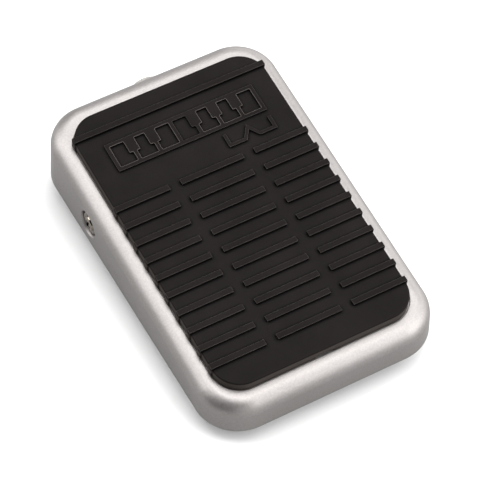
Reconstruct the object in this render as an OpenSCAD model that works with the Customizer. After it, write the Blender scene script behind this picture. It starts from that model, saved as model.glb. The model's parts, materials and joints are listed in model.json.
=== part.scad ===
// Compact sustain pedal: a sloping die-cast treadle with a ribbed rubber pad, hinged on two
// side screws over a pressed steel base that carries the springs and a small lever switch.
// X is the width, -Y the toe end, +Y the jack end, +Z up. The origin is at the middle of the
// bounding box, on the floor.

/* [Treadle cover] */
// Width of the cover across its top face, measured to the sharp edge
cover_w = 67; // [64:0.5:72]
// Length of the cover along its top face, measured to the sharp edge
cover_l = 103.6; // [100:0.2:110]
// Height of the cover halfway along, from its lower edge to its top face
cover_h = 13.7; // [13.4:0.1:14.6]
// Slope of the top face down towards the toe end, in degrees
slope = 4.25; // [4:0.05:4.5]
// Corner radius of the cover seen from above
corner_r = 11.75; // [10:0.25:13]
// Radius of the rounded edge round the top face
edge_r = 4.35; // [3.5:0.05:5]
// Draft of the side walls, in degrees
draft = 2.2; // [1:0.1:3]
// Thickness of the side walls
wall = 2.4; // [2.2:0.1:2.6]
// Thickness of the top wall
top_t = 2.5; // [2.2:0.1:2.7]
// Height of the cover's lower edge above the floor, with the foot off the pedal
ground_gap = 4.6; // [4.2:0.1:5]

/* [Rubber pad] */
// Width of the pad
pad_w = 57; // [55:0.5:58]
// Length of the pad
pad_l = 90.6; // [88:0.2:92]
// Corner radius of the pad
pad_r = 7.8; // [6:0.2:9]
// Height of the pad's face above the cover's top face
pad_h = 2.7; // [2.3:0.1:3.1]
// Distance from one grip rib to the next
rib_pitch = 5.8; // [5.6:0.05:6]
// Width of a grip rib
rib_w = 1.7; // [1.2:0.1:2]
// Height of a grip rib above the pad's face
rib_h = 0.7; // [0.3:0.1:0.8]
// Number of grip ribs in each column
rib_count = 10; // [8:1:10]

/* [Hinge] */
// Distance of the hinge axis behind the middle of the cover
pivot_back = 20.7; // [19:0.1:22]
// Height of the hinge axis above the cover's lower edge
pivot_up = 7.1; // [6.8:0.1:7.4]
// Full travel of the treadle, in degrees
travel = 2.8; // [2.2:0.1:2.8]
// Diameter of the screw shoulder that the treadle turns on
shoulder_d = 4; // [3.6:0.1:4.2]

/* [Jack] */
// Diameter of the hole that takes the plug
jack_bore_d = 6.5; // [6.4:0.05:6.6]
// Height of the jack's axis above the cover's lower edge
jack_up = 8; // [7.8:0.1:8.2]

/* [Base] */
// Thickness of the steel sheet
sheet_t = 1.5; // [1.2:0.1:1.6]
// Thickness of the rubber sole
sole_t = 2; // [1.8:0.1:2.2]
// Gap between the base and the inside of the cover
base_gap = 1.3; // [1.2:0.1:1.5]

/* [Hidden] */
$fn = 64;
eps = 0.01;

// Jack sizes along its axis
jack_face = 1.65;       // spot face to the end of the nut
ferrule_proud = 0.5;    // ferrule end beyond the nut
ferrule_len = 15.9;
ferrule_d = 9.3;
jack_nut_d = 10.8;
jack_nut_t = 1.25;
jack_washer_t = 0.4;
jack_washer_d = 12;
jack_case_w = 15;
jack_case_below = 5.1;
jack_case_above = 4.6;
jack_case_len = 26.8;
plug_depth = 29.5;

// Cover outline at its lower edge, and where the whole object's middle lies
top_front = cover_l / 2 * cos(slope);
h_front = cover_h - cover_l / 2 * sin(slope);
h_rear = cover_h + cover_l / 2 * sin(slope);
flare_front = h_front * tan(draft);
flare_rear = h_rear * tan(draft);
jack_seat = top_front + 0.1;
rear_end = jack_seat + jack_face + ferrule_proud;
front_end = top_front + flare_front;
mid_y = (front_end - rear_end) / 2;

// Heights above the floor
top_z = ground_gap + cover_h;
plate_top = sole_t + sheet_t;
pivot_y = mid_y + pivot_back;
pivot_z = ground_gap + pivot_up;
jack_z = ground_gap + jack_up;

// Pad details
recess = 0.6;
glue_t = 0.2;
pad_fit = 0.25;
pad_shift = -0.8;
row_front = 15.25;
column_in = 9.4;
column_out = 12.8;
rib_proud = 0.4;
rear_rib = 39.4;
emblem_h = 0.5;
emblem_w = 1.2;
keys = 7;
key_pitch = 6.2;
key_l = 9.2;
black_after = [0, 1, 3, 4, 5];
black_w = 3.2;
black_l = 5.2;
emblem_y = 30;
sign_w = 1;

// Hinge stack, outward from the middle of the pedal
base_half_w = cover_w / 2 + (flare_front + flare_rear) / 2 - wall - base_gap;
ear_in = base_half_w - sheet_t;
wall_out = cover_w / 2 + (top_z + pivot_back * tan(slope) - pivot_z) * tan(draft);
sink_d = 7.4;
sink_depth = 1.3;
sink_floor = wall_out - sink_depth;
boss_d = 11;
flange_t = 0.6;
flange_in = base_half_w + 0.15;
flange_out = flange_in + flange_t;
flange_d = 8.4;
bush_d = 5.5;
head_d = 6.8;
head_low = sink_floor + 0.08;
head_edge = 0.87;
head_dome = 0.45;
cross_w = 0.8;
cross_l = 3.4;
cross_depth = 0.7;
thread_d = 2.9;
nut_len = 2.8;
nut_d = 6.5;
run_gap = 0.03;
slip = 0.03;

// Base outline
base_front = top_front + flare_front - wall - base_gap;
base_rear = top_front + flare_rear - wall - base_gap;
base_len = base_front + base_rear;
base_y = mid_y + (base_rear - base_front) / 2;
base_r = corner_r + flare_front - wall - base_gap;
rim_top = 7;
ear_r = 4.5;

// Stops
stop_x = 20;
rest_y = mid_y + 41;
rest_h = 5;
travel_y = mid_y - 40;
travel_h = 3;
stop_r = 4;

// Return springs
spring_x = 17;
spring_y = mid_y - 22;
wire_r = 0.5;
coil_r = 4;
turns = 5.5;
seat_t = 0.8;
spring_low = plate_top + seat_t;
spring_high = ceiling_z(spring_y) - 0.8;

// Switch and board
board_w = 20;
board_l = 30;
board_y = mid_y - 2;
board_t = 1.2;
spacer_t = 1;
board_top = plate_top + spacer_t + board_t;
case_w = 5.8;
case_l = 12.8;
case_h = 6.5;
case_top = board_top + case_h;
case_y = mid_y - 2;
lever_y = mid_y + 4;
lever_z = case_top + 0.35;
lever_tilt = 5.3;
lever_reach = 16;
lever_t = 0.3;
terminal_pitch = 5.1;
plunger_back = 4.2;
pusher_y = lever_y - lever_reach;
pusher_z = lever_z + lever_reach * tan(lever_tilt) + 0.35;

function ceiling_z(y) = top_z - top_t / cos(slope) + (y - mid_y) * tan(slope);

// Its children on the right side, and their mirror image on the left
module at_both_sides() {
  children();
  mirror([1, 0, 0]) children();
}

// A flat rounded rectangle, centred
module rounded_plate(w, l, r, t) {
  linear_extrude(t) {
    square([w - 2 * r, l], center = true);
    square([w, l - 2 * r], center = true);
    for (sx = [-1, 1], sy = [-1, 1]) translate([sx * (w / 2 - r), sy * (l / 2 - r)]) circle(r);
  }
}

// Places its children on the cover's sloping top face, with its middle at the origin
module on_top_face() {
  translate([0, mid_y, top_z]) rotate([slope, 0, 0]) children();
}

// The cover's closed outline, moved in by inset and down from the top face by drop
module cover_blank(inset, drop, round_r, below) {
  r = corner_r - inset;
  hull() {
    on_top_face()
      for (sx = [-1, 1], sy = [-1, 1])
        translate([sx * (cover_w / 2 - corner_r), sy * (cover_l / 2 - corner_r), -drop - round_r])
          rotate_extrude($fn = 56) translate([r - round_r, 0]) circle(round_r, $fn = 32);
    for (sx = [-1, 1], sy = [-1, 1]) {
      flare = (sy < 0 ? flare_front : flare_rear);
      x = cover_w / 2 - corner_r;
      y = top_front - corner_r;
      translate([sx * x, mid_y + sy * y, ground_gap - below]) cylinder(r = r + flare, h = eps, $fn = 56);
    }
  }
}

// A post that hangs from the cover's top wall down to height z
module ceiling_post(x, y, z, r) {
  translate([x, y, z]) cylinder(r = r, h = ceiling_z(y) - z + 1);
}

// A round bar along X, from x0 to x1 at the hinge axis
module hinge_bar(x0, x1, d) {
  translate([x0, pivot_y, pivot_z]) rotate([0, 90, 0]) cylinder(d = d, h = x1 - x0);
}

// A round bar along Y, from y0 to y1 on the jack's axis, measured from the spot face
module jack_bar(y0, y1, d) {
  translate([0, mid_y + jack_seat + y1, jack_z]) rotate([90, 0, 0]) cylinder(d = d, h = y1 - y0);
}

module treadle_cover() {
  color("silver") difference() {
    union() {
      difference() {
        cover_blank(0, 0, edge_r, 0);
        cover_blank(wall, top_t, edge_r - wall, 1);
      }
      at_both_sides() {
        hinge_bar(flange_out, sink_floor + 0.3, boss_d);
        ceiling_post(stop_x, rest_y, plate_top + rest_h + 0.1, stop_r);
        ceiling_post(stop_x, travel_y, plate_top + travel_h + travel_drop(travel_y) + 0.3, stop_r);
        ceiling_post(spring_x, spring_y, spring_high + 0.1, coil_r + 1.6);
        ceiling_post(spring_x, spring_y, spring_high - 1.5, coil_r - wire_r - 0.3);
      }
    }
    at_both_sides() {
      hinge_bar(sink_floor, wall_out + 2, sink_d);
      hinge_bar(flange_out - 1, sink_floor + 1, bush_d + 2 * slip);
    }
    jack_bar(-6, 4, ferrule_d + 0.3);
    jack_bar(0, 4, jack_washer_d + 0.8);
    translate([0, pusher_y, ceiling_z(pusher_y) - 1]) cylinder(d = 3 + 2 * slip, h = 2.4);
    on_top_face() translate([0, pad_shift, -recess])
      rounded_plate(pad_w + 2 * pad_fit, pad_l + 2 * pad_fit, pad_r + pad_fit, 2);
  }
}

// How far a point of the treadle at y sinks at full travel
function travel_drop(y) = (pivot_y - y) * sin(travel);

// One straight rib across the pad, from x0 to x1, with its middle at y
module grip_rib(x0, x1, y) {
  translate([x0, y - rib_w / 2, pad_h - 0.5]) cube([x1 - x0, rib_w, rib_h + 0.5]);
}

// The end of a rib that stands proud of the pad's side and runs down it
module rib_end(side, y) {
  x = side * (pad_w / 2 + (rib_proud - 1) / 2);
  translate([x, y, (pad_h + rib_h + 0.1) / 2]) cube([1 + rib_proud, rib_w, pad_h + rib_h - 0.1], center = true);
}

// Half the bar between a key and the next: wide where a black key stands
function half_bar(key) = len([for (k = black_after) if (k == key) k]) > 0 ? black_w / 2 : emblem_w / 2;

// A raised octave of piano keys in outline, centred: the black keys are solid
module keyboard_outline() {
  difference() {
    square([keys * key_pitch + emblem_w, key_l], center = true);
    for (key = [0:keys - 1]) {
      left = (key - keys / 2) * key_pitch;
      translate([left + emblem_w / 2, emblem_w - key_l / 2])
        square([key_pitch - emblem_w, key_l - black_l - emblem_w]);
      translate([left + half_bar(key - 1), emblem_w - key_l / 2])
        square([key_pitch - half_bar(key - 1) - half_bar(key), key_l - 2 * emblem_w]);
    }
  }
}

// The outline of a bar of width w that follows the points, with mitred corners
function stroke(points, w) =
  let (last = len(points) - 1)
  let (dirs = [for (i = [0:last - 1]) (points[i + 1] - points[i]) / norm(points[i + 1] - points[i])])
  let (bends = [for (i = [0:last]) dirs[max(i - 1, 0)] + dirs[min(i, last - 1)]])
  let (sides = [for (i = [0:last]) [-bends[i].y, bends[i].x] * w / (bends[i] * dirs[min(i, last - 1)] * 2)])
  concat([for (i = [0:last]) points[i] + sides[i]], [for (i = [last:-1:0]) points[i] - sides[i]]);

// The bracket that marks pedal down, lift and pedal up under written music
pedal_sign = [[8, 23.4], [8, 19.6], [12.6, 19.6], [14.8, 22.8], [17, 19.6], [21.6, 19.6], [21.6, 23.4]];

module rubber_pad() {
  side = pad_w / 2;
  color([0.13, 0.12, 0.12]) on_top_face() translate([0, pad_shift, 0]) {
    translate([0, 0, glue_t - recess]) rounded_plate(pad_w, pad_l, pad_r, pad_h + recess - glue_t);
    for (row = [0:rib_count - 1]) {
      y = row_front - row * rib_pitch;
      grip_rib(-side + 0.5, -column_out, y);
      grip_rib(-column_in, column_in, y);
      grip_rib(column_out, side - 0.5, y);
      rib_end(-1, y);
      rib_end(1, y);
    }
    grip_rib(-side + 0.5, side - 0.5, rear_rib);
    rib_end(-1, rear_rib);
    rib_end(1, rear_rib);
    translate([0, emblem_y, pad_h - 0.2]) linear_extrude(emblem_h + 0.2) keyboard_outline();
    translate([0, 0, pad_h - 0.2]) linear_extrude(emblem_h + 0.2) polygon(stroke(pedal_sign, sign_w));
  }
}

module pad_adhesive() {
  color("khaki") on_top_face() translate([0, pad_shift, -recess])
    rounded_plate(pad_w - 2, pad_l - 2, pad_r - 1, glue_t);
}

module pivot_bushes() {
  color("ivory") at_both_sides() difference() {
    union() {
      hinge_bar(flange_in, flange_out, flange_d);
      hinge_bar(flange_in, sink_floor - 0.05, bush_d);
    }
    hinge_bar(flange_in - 1, sink_floor + 1, shoulder_d + 2 * run_gap);
  }
}

module switch_pusher() {
  color("white") {
    translate([0, pusher_y, pusher_z]) cylinder(d = 3, h = ceiling_z(pusher_y) - pusher_z + 1);
    translate([0, pusher_y, pusher_z]) cylinder(d = 4.6, h = 0.3);
  }
}

module jack_housing() {
  front = -wall - 0.55;
  color([0.12, 0.12, 0.13]) difference() {
    translate([-jack_case_w / 2, mid_y + jack_seat + front - jack_case_len, jack_z - jack_case_below])
      cube([jack_case_w, jack_case_len, jack_case_below + jack_case_above]);
    jack_bar(front - 11.5, front + 1, ferrule_d + 2 * slip);
    jack_bar(jack_face + ferrule_proud - plug_depth, front, jack_bore_d + 0.3);
    // Slots that the two contacts lie in
    translate([-2.2, mid_y + jack_seat + front - jack_case_len - 1, jack_z - 4.6]) cube([4.4, 9, 1.6]);
    translate([5.2, mid_y + jack_seat + front - jack_case_len - 1, jack_z - 1.7]) cube([0.8, 17, 3.4]);
    translate([2.5, mid_y + jack_seat + front - 12.3, jack_z - 1.7]) cube([3.5, 0.7, 3.4]);
  }
}

module jack_ferrule() {
  tail = jack_face + ferrule_proud - ferrule_len;
  color("gainsboro") difference() {
    jack_bar(tail, jack_face + ferrule_proud, ferrule_d);
    jack_bar(tail - 1, jack_face + ferrule_proud + 1, jack_bore_d);
  }
}

module jack_ring(y0, y1, d) {
  difference() {
    jack_bar(y0, y1, d);
    jack_bar(y0 - 1, y1 + 1, ferrule_d + 2 * slip);
  }
}

module jack_inner_washer() {
  color("tan") jack_ring(-wall - 0.5, -wall - 0.15, jack_washer_d);
}

module jack_outer_washer() {
  color("silver") jack_ring(0, jack_washer_t, jack_washer_d);
}

module jack_nut() {
  color("silver") difference() {
    jack_ring(jack_washer_t, jack_face, jack_nut_d);
    // Two slots for a pin spanner
    for (side = [-1, 1])
      translate([side * jack_nut_d / 2, mid_y + jack_seat + jack_face, jack_z])
        cube([1.4, 1.4, 1.6], center = true);
  }
}

module jack_tip_contact() {
  y = mid_y + jack_seat - wall - 0.55 - jack_case_len;
  color("goldenrod") {
    translate([-2, y - 2.5, jack_z - 4.4]) cube([4, 8, 0.4]);
    translate([-2, y + 4.6, jack_z - 4.4]) cube([4, 0.4, 1.2]);
    translate([-2, y + 4.9, jack_z - 3.4]) rotate([0, 90, 0]) cylinder(d = 0.9, h = 4);
  }
}

module jack_sleeve_contact() {
  front = -wall - 0.55;
  y = mid_y + jack_seat + front;
  color("goldenrod") {
    translate([5.35, y - jack_case_len - 2.5, jack_z - 1.5]) cube([0.4, 14.9 + 2.5, 3]);
    translate([3.6, y - 12.1, jack_z - 1.5]) cube([2.15, 0.35, 3]);
  }
}

// The pressed sheet shape of the base, seen from above
module base_shape(inset, t) {
  rounded_plate(2 * (base_half_w - inset), base_len - 2 * inset, base_r - inset, t);
}

module base_ear() {
  translate([ear_in, pivot_y, 0]) rotate([90, 0, 90]) linear_extrude(sheet_t) {
    polygon([[-9, rim_top - 0.5], [9, rim_top - 0.5], [ear_r - 0.1, pivot_z + 0.6], [-ear_r + 0.1, pivot_z + 0.6]]);
    translate([0, pivot_z]) circle(ear_r);
  }
}

module base_plate() {
  color([0.16, 0.16, 0.17]) difference() {
    union() {
      translate([0, base_y, sole_t]) difference() {
        base_shape(0, rim_top - sole_t);
        translate([0, 0, sheet_t]) base_shape(sheet_t, rim_top);
      }
      at_both_sides() base_ear();
    }
    at_both_sides() hinge_bar(ear_in - 1, base_half_w + 1, thread_d + 0.1);
    at_board_screws() cylinder(d = 2.5, h = 20, center = true);
  }
}

module rubber_sole() {
  groove = 1.6;
  color([0.1, 0.1, 0.1]) difference() {
    translate([0, base_y, 0]) rounded_plate(2 * base_half_w - 2, base_len - 2, base_r - 1, sole_t);
    // Grip grooves across the toe and heel ends of the sole
    for (side = [-1, 1], row = [0:4])
      translate([0, base_y + side * (18 + row * 6), 0]) cube([2 * base_half_w - 14, groove, 1.2], center = true);
  }
}

// The domed top of a screw's head, from its edge to its middle
module dome(d, rise) {
  steps = 6;
  rotate_extrude()
    polygon(concat([[0, 0]], [for (i = [steps:-1:0]) [d / 2 * i / steps, eps + rise * (1 - pow(i / steps, 2))]]));
}

module pivot_screws() {
  color("gainsboro") at_both_sides() difference() {
    union() {
      hinge_bar(ear_in - nut_len - 0.4, base_half_w + 0.1, thread_d);
      hinge_bar(base_half_w, head_low + 0.2, shoulder_d);
      hinge_bar(head_low, head_low + head_edge, head_d);
      translate([head_low + head_edge - eps, pivot_y, pivot_z]) rotate([0, 90, 0]) dome(head_d, head_dome);
    }
    // Cross recess
    for (turn = [25, 115])
      translate([head_low + head_edge + head_dome, pivot_y, pivot_z]) rotate([turn, 0, 0])
        cube([2 * cross_depth, cross_w, cross_l], center = true);
  }
}

module clinch_nuts() {
  color("darkgray") at_both_sides() difference() {
    hinge_bar(ear_in - nut_len, ear_in, nut_d);
    hinge_bar(ear_in - nut_len - 1, ear_in + 1, thread_d + 0.1);
  }
}

module rest_bumpers() {
  color([0.1, 0.1, 0.1]) at_both_sides()
    translate([stop_x, rest_y, plate_top]) cylinder(r = stop_r, h = rest_h);
}

module travel_bumpers() {
  color([0.1, 0.1, 0.1]) at_both_sides()
    translate([stop_x, travel_y, plate_top]) cylinder(r = stop_r, h = travel_h);
}

module spring_seats() {
  color("white") at_both_sides() translate([spring_x, spring_y, plate_top]) {
    difference() {
      cylinder(r = coil_r + 1.6, h = seat_t + 1);
      translate([0, 0, seat_t]) cylinder(r = coil_r + wire_r + 0.3, h = 2);
    }
    cylinder(r = coil_r - wire_r - 0.3, h = seat_t + 2);
  }
}

// Height of the spring's wire at turn t: the end turns lie flat, the middle ones rise evenly
function coil_z(t) =
  let (dead = 0.85, rise = (spring_high - spring_low - 4 * wire_r - 0.3) / (turns - 2 * dead))
  let (live = min(max(t - dead, 0), turns - 2 * dead))
  spring_low + wire_r + live * rise + (min(t, dead) + max(t - turns + dead, 0)) * (wire_r + 0.15) / dead;

module return_spring() {
  sides = 8;
  per_turn = 16;
  last = turns * per_turn;
  points = [for (i = [0:last], k = [0:sides - 1])
    let (a = 360 * i / per_turn, b = 360 * k / sides, r = coil_r + wire_r * cos(b))
    [r * cos(a), r * sin(a), coil_z(i / per_turn) + wire_r * sin(b)]];
  skin = [for (i = [0:last - 1], k = [0:sides - 1])
    let (next = (k + 1) % sides)
    [i * sides + k, i * sides + next, (i + 1) * sides + next, (i + 1) * sides + k]];
  first_cap = [for (k = [sides - 1:-1:0]) k];
  last_cap = [for (k = [0:sides - 1]) last * sides + k];
  polyhedron(points, concat(skin, [first_cap, last_cap]), convexity = 10);
}

module return_spring_left() {
  color("gray") translate([-spring_x, spring_y, 0]) return_spring();
}

module return_spring_right() {
  color("gray") translate([spring_x, spring_y, 0]) return_spring();
}

// The two screws that hold the board
module at_board_screws() {
  for (side = [-1, 1]) translate([side * 7, board_y + side * 12, 0]) children();
}

module circuit_board() {
  color("darkgreen") difference() {
    translate([-board_w / 2, board_y - board_l / 2, board_top - board_t]) cube([board_w, board_l, board_t]);
    at_board_screws() cylinder(d = 2.6, h = 40, center = true);
    for (i = [-1:1]) translate([0, case_y + i * terminal_pitch, board_top]) cube([1.1, 0.6, 5], center = true);
  }
}

module board_spacers() {
  color("tan") at_board_screws() difference() {
    translate([0, 0, plate_top]) cylinder(d = 5, h = spacer_t);
    cylinder(d = 2.6, h = 40, center = true);
  }
}

module board_screws() {
  color("silver") at_board_screws() {
    translate([0, 0, sole_t + 0.2]) cylinder(d = 2.4, h = board_top - sole_t);
    difference() {
      translate([0, 0, board_top]) cylinder(d = 4.6, h = 1.3);
      translate([0, 0, board_top + 1.2]) cube([0.7, 2.6, 1.2], center = true);
      translate([0, 0, board_top + 1.2]) cube([2.6, 0.7, 1.2], center = true);
    }
  }
}

module switch_case() {
  hinge_gap = 0.05;
  color([0.15, 0.15, 0.16]) difference() {
    union() {
      translate([-case_w / 2, case_y - case_l / 2, board_top]) cube([case_w, case_l, case_h]);
      // Cheeks that hold the lever's pivot
      for (side = [-1, 1])
        translate([side * 2.6, lever_y, lever_z]) cube([0.6, 1.8, 1.5], center = true);
    }
    translate([0, lever_y, lever_z]) rotate([0, 90, 0]) cylinder(d = 0.8 + 2 * hinge_gap, h = 10, center = true);
    translate([0, lever_y - plunger_back, case_top - 2.6]) cylinder(d = 2, h = 4);
    translate([-2.3, lever_y - 0.8, case_top - 0.4]) cube([4.6, 1.6, 1]);
  }
}

module switch_terminals() {
  color("silver") for (i = [-1:1])
    translate([-0.5, case_y + i * terminal_pitch - 0.25, board_top - board_t - 0.6]) cube([1, 0.5, board_t + 0.6]);
}

module switch_plunger() {
  color("crimson") translate([0, lever_y - plunger_back, case_top - 1.9]) cylinder(d = 1.9, h = 2.34);
}

module switch_lever() {
  color("silver") translate([0, lever_y, lever_z]) {
    rotate([0, 90, 0]) cylinder(d = 0.8, h = 5.8, center = true);
    rotate([-lever_tilt, 0, 0]) translate([-2, -lever_reach - 1.5, -lever_t / 2])
      cube([4, lever_reach + 1.5, lever_t]);
  }
}

// A thin lead wire through the points given, as a tube with mitred joints
module lead(points, d) {
  sides = 8;
  last = len(points) - 1;
  function along(i) = let (v = points[min(i + 1, last)] - points[max(i - 1, 0)]) v / norm(v);
  verts = [for (i = [0:last], k = [0:sides - 1])
    let (t = along(i), u = cross(t, [0.9, 0.1, 0.4]), n = u / norm(u), b = cross(t, n), a = 360 * k / sides)
    points[i] + d / 2 * (cos(a) * n + sin(a) * b)];
  skin = [for (i = [0:last - 1], k = [0:sides - 1])
    let (next = (k + 1) % sides)
    [i * sides + k, i * sides + next, (i + 1) * sides + next, (i + 1) * sides + k]];
  first_cap = [for (k = [sides - 1:-1:0]) k];
  last_cap = [for (k = [0:sides - 1]) last * sides + k];
  polyhedron(verts, concat(skin, [first_cap, last_cap]), convexity = 10);
}

// A smooth route from point a, leaving upwards, to point b, arriving along +Y
function wire_route(a, b, n) = [for (i = [0:n])
  let (t = i / n, up = a + [0, 0, 2.6], back = b - [0, 5, 0])
  pow(1 - t, 3) * a + 3 * pow(1 - t, 2) * t * up + 3 * (1 - t) * t * t * back + t * t * t * b];

lug_y = mid_y + jack_seat - wall - 0.55 - jack_case_len - 2.9;

module tip_wire() {
  color("white") lead(wire_route([-2, board_y + 12.4, board_top + 0.02], [-1, lug_y, jack_z - 4.2], 14), 1.1);
}

module sleeve_wire() {
  color("black") lead(wire_route([2, board_y + 12.4, board_top + 0.02], [5.55, lug_y, jack_z], 14), 1.1);
}

module wire_clip() {
  color("white") translate([0, board_y + 9.6, board_top]) difference() {
    translate([-4, -0.9, 0]) cube([8, 1.8, 1.6]);
    translate([0, 0, -0.1]) cube([5.6, 3, 1.6], center = true);
  }
}

treadle_cover();
rubber_pad();
pad_adhesive();
pivot_bushes();
switch_pusher();
jack_housing();
jack_ferrule();
jack_inner_washer();
jack_outer_washer();
jack_nut();
jack_tip_contact();
jack_sleeve_contact();
base_plate();
rubber_sole();
pivot_screws();
clinch_nuts();
rest_bumpers();
travel_bumpers();
spring_seats();
return_spring_left();
return_spring_right();
circuit_board();
board_spacers();
board_screws();
switch_case();
switch_terminals();
switch_plunger();
switch_lever();
tip_wire();
sleeve_wire();
wire_clip();
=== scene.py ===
import json
import math

import bmesh
import bpy
from mathutils import Matrix, Vector


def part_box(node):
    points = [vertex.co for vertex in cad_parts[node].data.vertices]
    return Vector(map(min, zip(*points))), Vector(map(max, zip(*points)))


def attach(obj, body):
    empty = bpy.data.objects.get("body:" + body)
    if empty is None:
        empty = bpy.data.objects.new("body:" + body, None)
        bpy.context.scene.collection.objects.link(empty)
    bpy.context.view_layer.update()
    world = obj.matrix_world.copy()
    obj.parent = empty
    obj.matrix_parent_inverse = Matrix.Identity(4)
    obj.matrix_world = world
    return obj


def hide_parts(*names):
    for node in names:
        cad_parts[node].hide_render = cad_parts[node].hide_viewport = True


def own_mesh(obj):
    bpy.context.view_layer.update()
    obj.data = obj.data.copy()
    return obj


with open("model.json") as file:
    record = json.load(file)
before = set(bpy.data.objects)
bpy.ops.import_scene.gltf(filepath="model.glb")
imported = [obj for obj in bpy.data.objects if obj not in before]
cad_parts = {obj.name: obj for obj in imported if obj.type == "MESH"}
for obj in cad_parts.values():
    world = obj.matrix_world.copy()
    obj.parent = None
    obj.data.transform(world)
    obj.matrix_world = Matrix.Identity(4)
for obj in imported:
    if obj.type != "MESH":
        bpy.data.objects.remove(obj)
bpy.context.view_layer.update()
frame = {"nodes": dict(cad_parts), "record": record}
MM = 0.001

# ---------------------------------------------------------------------------
# The studio: white paper under and behind the pedal, and wide soft lamps from
# the toe end round by the right side to the rear left. The camera looks down
# from beyond the left corner of the toe end.
# ---------------------------------------------------------------------------
AZIMUTH, ELEVATION, ROLL = (math.radians(angle) for angle in (-30.18, 54.85, 1.72))
AIM = Vector((1.42, -0.09, 5.62)) * MM
DISTANCE = 682.2 * MM
LENS = 191.5
LOW_SKY, LOW_SPREAD, HIGH_SPREAD = 16, 52, 44
ROOM_LIGHT, BACKDROP = 0.1, 0.95
PAPER_HALF, PAPER_BOUNCE, PAPER_SEEN = 3, 0.39, 0.72


def toward(azimuth, elevation):
    """The direction of a place in the sky, where azimuth 0 lies beyond the toe end."""
    flat = math.cos(elevation)
    return Vector((math.sin(azimuth) * flat, -math.cos(azimuth) * flat, math.sin(elevation)))


back = toward(AZIMUTH, ELEVATION)
level = Vector((math.cos(AZIMUTH), math.sin(AZIMUTH), 0))
upright = back.cross(level)
right = level * math.cos(ROLL) + upright * math.sin(ROLL)
above = back.cross(right)
facing = Matrix((right, above, back)).transposed().to_4x4()
camera = bpy.data.objects.new("camera", bpy.data.cameras.new("camera"))
camera.data.lens = LENS
camera.data.sensor_width = 36
camera.data.clip_start = 0.01
camera.matrix_world = Matrix.Translation(AIM + back * DISTANCE) @ facing
bpy.context.collection.objects.link(camera)
bpy.context.scene.camera = camera


def soft_lamp(name, azimuth, elevation, spread, strength):
    """A very wide source far away, so that the paper is lit evenly."""
    data = bpy.data.lights.new(name, "SUN")
    data.angle = math.radians(spread)
    data.energy = strength
    lamp = bpy.data.objects.new(name, data)
    lamp.rotation_mode = "QUATERNION"
    lamp.rotation_quaternion = toward(math.radians(azimuth), math.radians(elevation)).to_track_quat("Z", "Y")
    bpy.context.collection.objects.link(lamp)


for azimuth, strength in ((0, 0.7), (45, 1.5), (90, 1.5), (135, 1.4), (225, 1.2)):
    soft_lamp("low lamp", azimuth, LOW_SKY, LOW_SPREAD, strength)
for azimuth, elevation, strength in ((45, 42, 2.0), (225, 42, 1.8), (90, 68, 2.0), (180, 68, 2.0)):
    soft_lamp("high lamp", azimuth, elevation, HIGH_SPREAD, strength)

room = bpy.data.worlds.new("room")
room.use_nodes = True
room_nodes = room.node_tree.nodes
room_light = room_nodes["Background"]
room_light.inputs["Strength"].default_value = ROOM_LIGHT
backdrop = room_nodes.new("ShaderNodeBackground")
backdrop.inputs["Color"].default_value = (BACKDROP, BACKDROP, BACKDROP, 1)
seen = room_nodes.new("ShaderNodeLightPath")
either = room_nodes.new("ShaderNodeMixShader")
room.node_tree.links.new(seen.outputs["Is Camera Ray"], either.inputs[0])
room.node_tree.links.new(room_light.outputs[0], either.inputs[1])
room.node_tree.links.new(backdrop.outputs[0], either.inputs[2])
room.node_tree.links.new(either.outputs[0], room_nodes["World Output"].inputs[0])
bpy.context.scene.world = room
bpy.context.scene.view_settings.view_transform = "Standard"

floor_mesh = bpy.data.meshes.new("floor")
corners = [(x * PAPER_HALF, y * PAPER_HALF, 0) for x, y in ((-1, -1), (1, -1), (1, 1), (-1, 1))]
floor_mesh.from_pydata(corners, [], [(0, 1, 2, 3)])
floor = bpy.data.objects.new("floor", floor_mesh)
bpy.context.collection.objects.link(floor)
paper = bpy.data.materials.new("studio paper")
paper.use_nodes = True
paper_shader = paper.node_tree.nodes["Principled BSDF"]
paper_shader.inputs["Roughness"].default_value = 0.9
paper_seen = paper.node_tree.nodes.new("ShaderNodeLightPath")
paper_tone = paper.node_tree.nodes.new("ShaderNodeMapRange")
paper_tone.inputs["To Min"].default_value = PAPER_BOUNCE
paper_tone.inputs["To Max"].default_value = PAPER_SEEN
paper.node_tree.links.new(paper_seen.outputs["Is Camera Ray"], paper_tone.inputs["Value"])
paper.node_tree.links.new(paper_tone.outputs["Result"], paper_shader.inputs["Base Color"])
floor_mesh.materials.append(paper)


# ---------------------------------------------------------------------------
# The treadle cover: a thin shell die-cast in zinc, painted silver, open below.
# Its top face slopes to the toe end, its walls have a casting draft, the rim is
# a big round, and it is bored for the two side screws and the jack.
# ---------------------------------------------------------------------------
class Field:
    """A socket of a material's tree, so that shader maths reads as arithmetic."""

    def __init__(self, coat, socket):
        self.coat = coat
        self.socket = socket

    def maths(self, operation, first, second):
        return self.coat.node("ShaderNodeMath", {"operation": operation}, {0: first, 1: second})

    def __add__(self, other):
        return self.maths("ADD", self, other)

    def __radd__(self, other):
        return self.maths("ADD", other, self)

    def __sub__(self, other):
        return self.maths("SUBTRACT", self, other)

    def __rsub__(self, other):
        return self.maths("SUBTRACT", other, self)

    def __mul__(self, other):
        return self.maths("MULTIPLY", self, other)

    def __rmul__(self, other):
        return self.maths("MULTIPLY", other, self)


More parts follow.
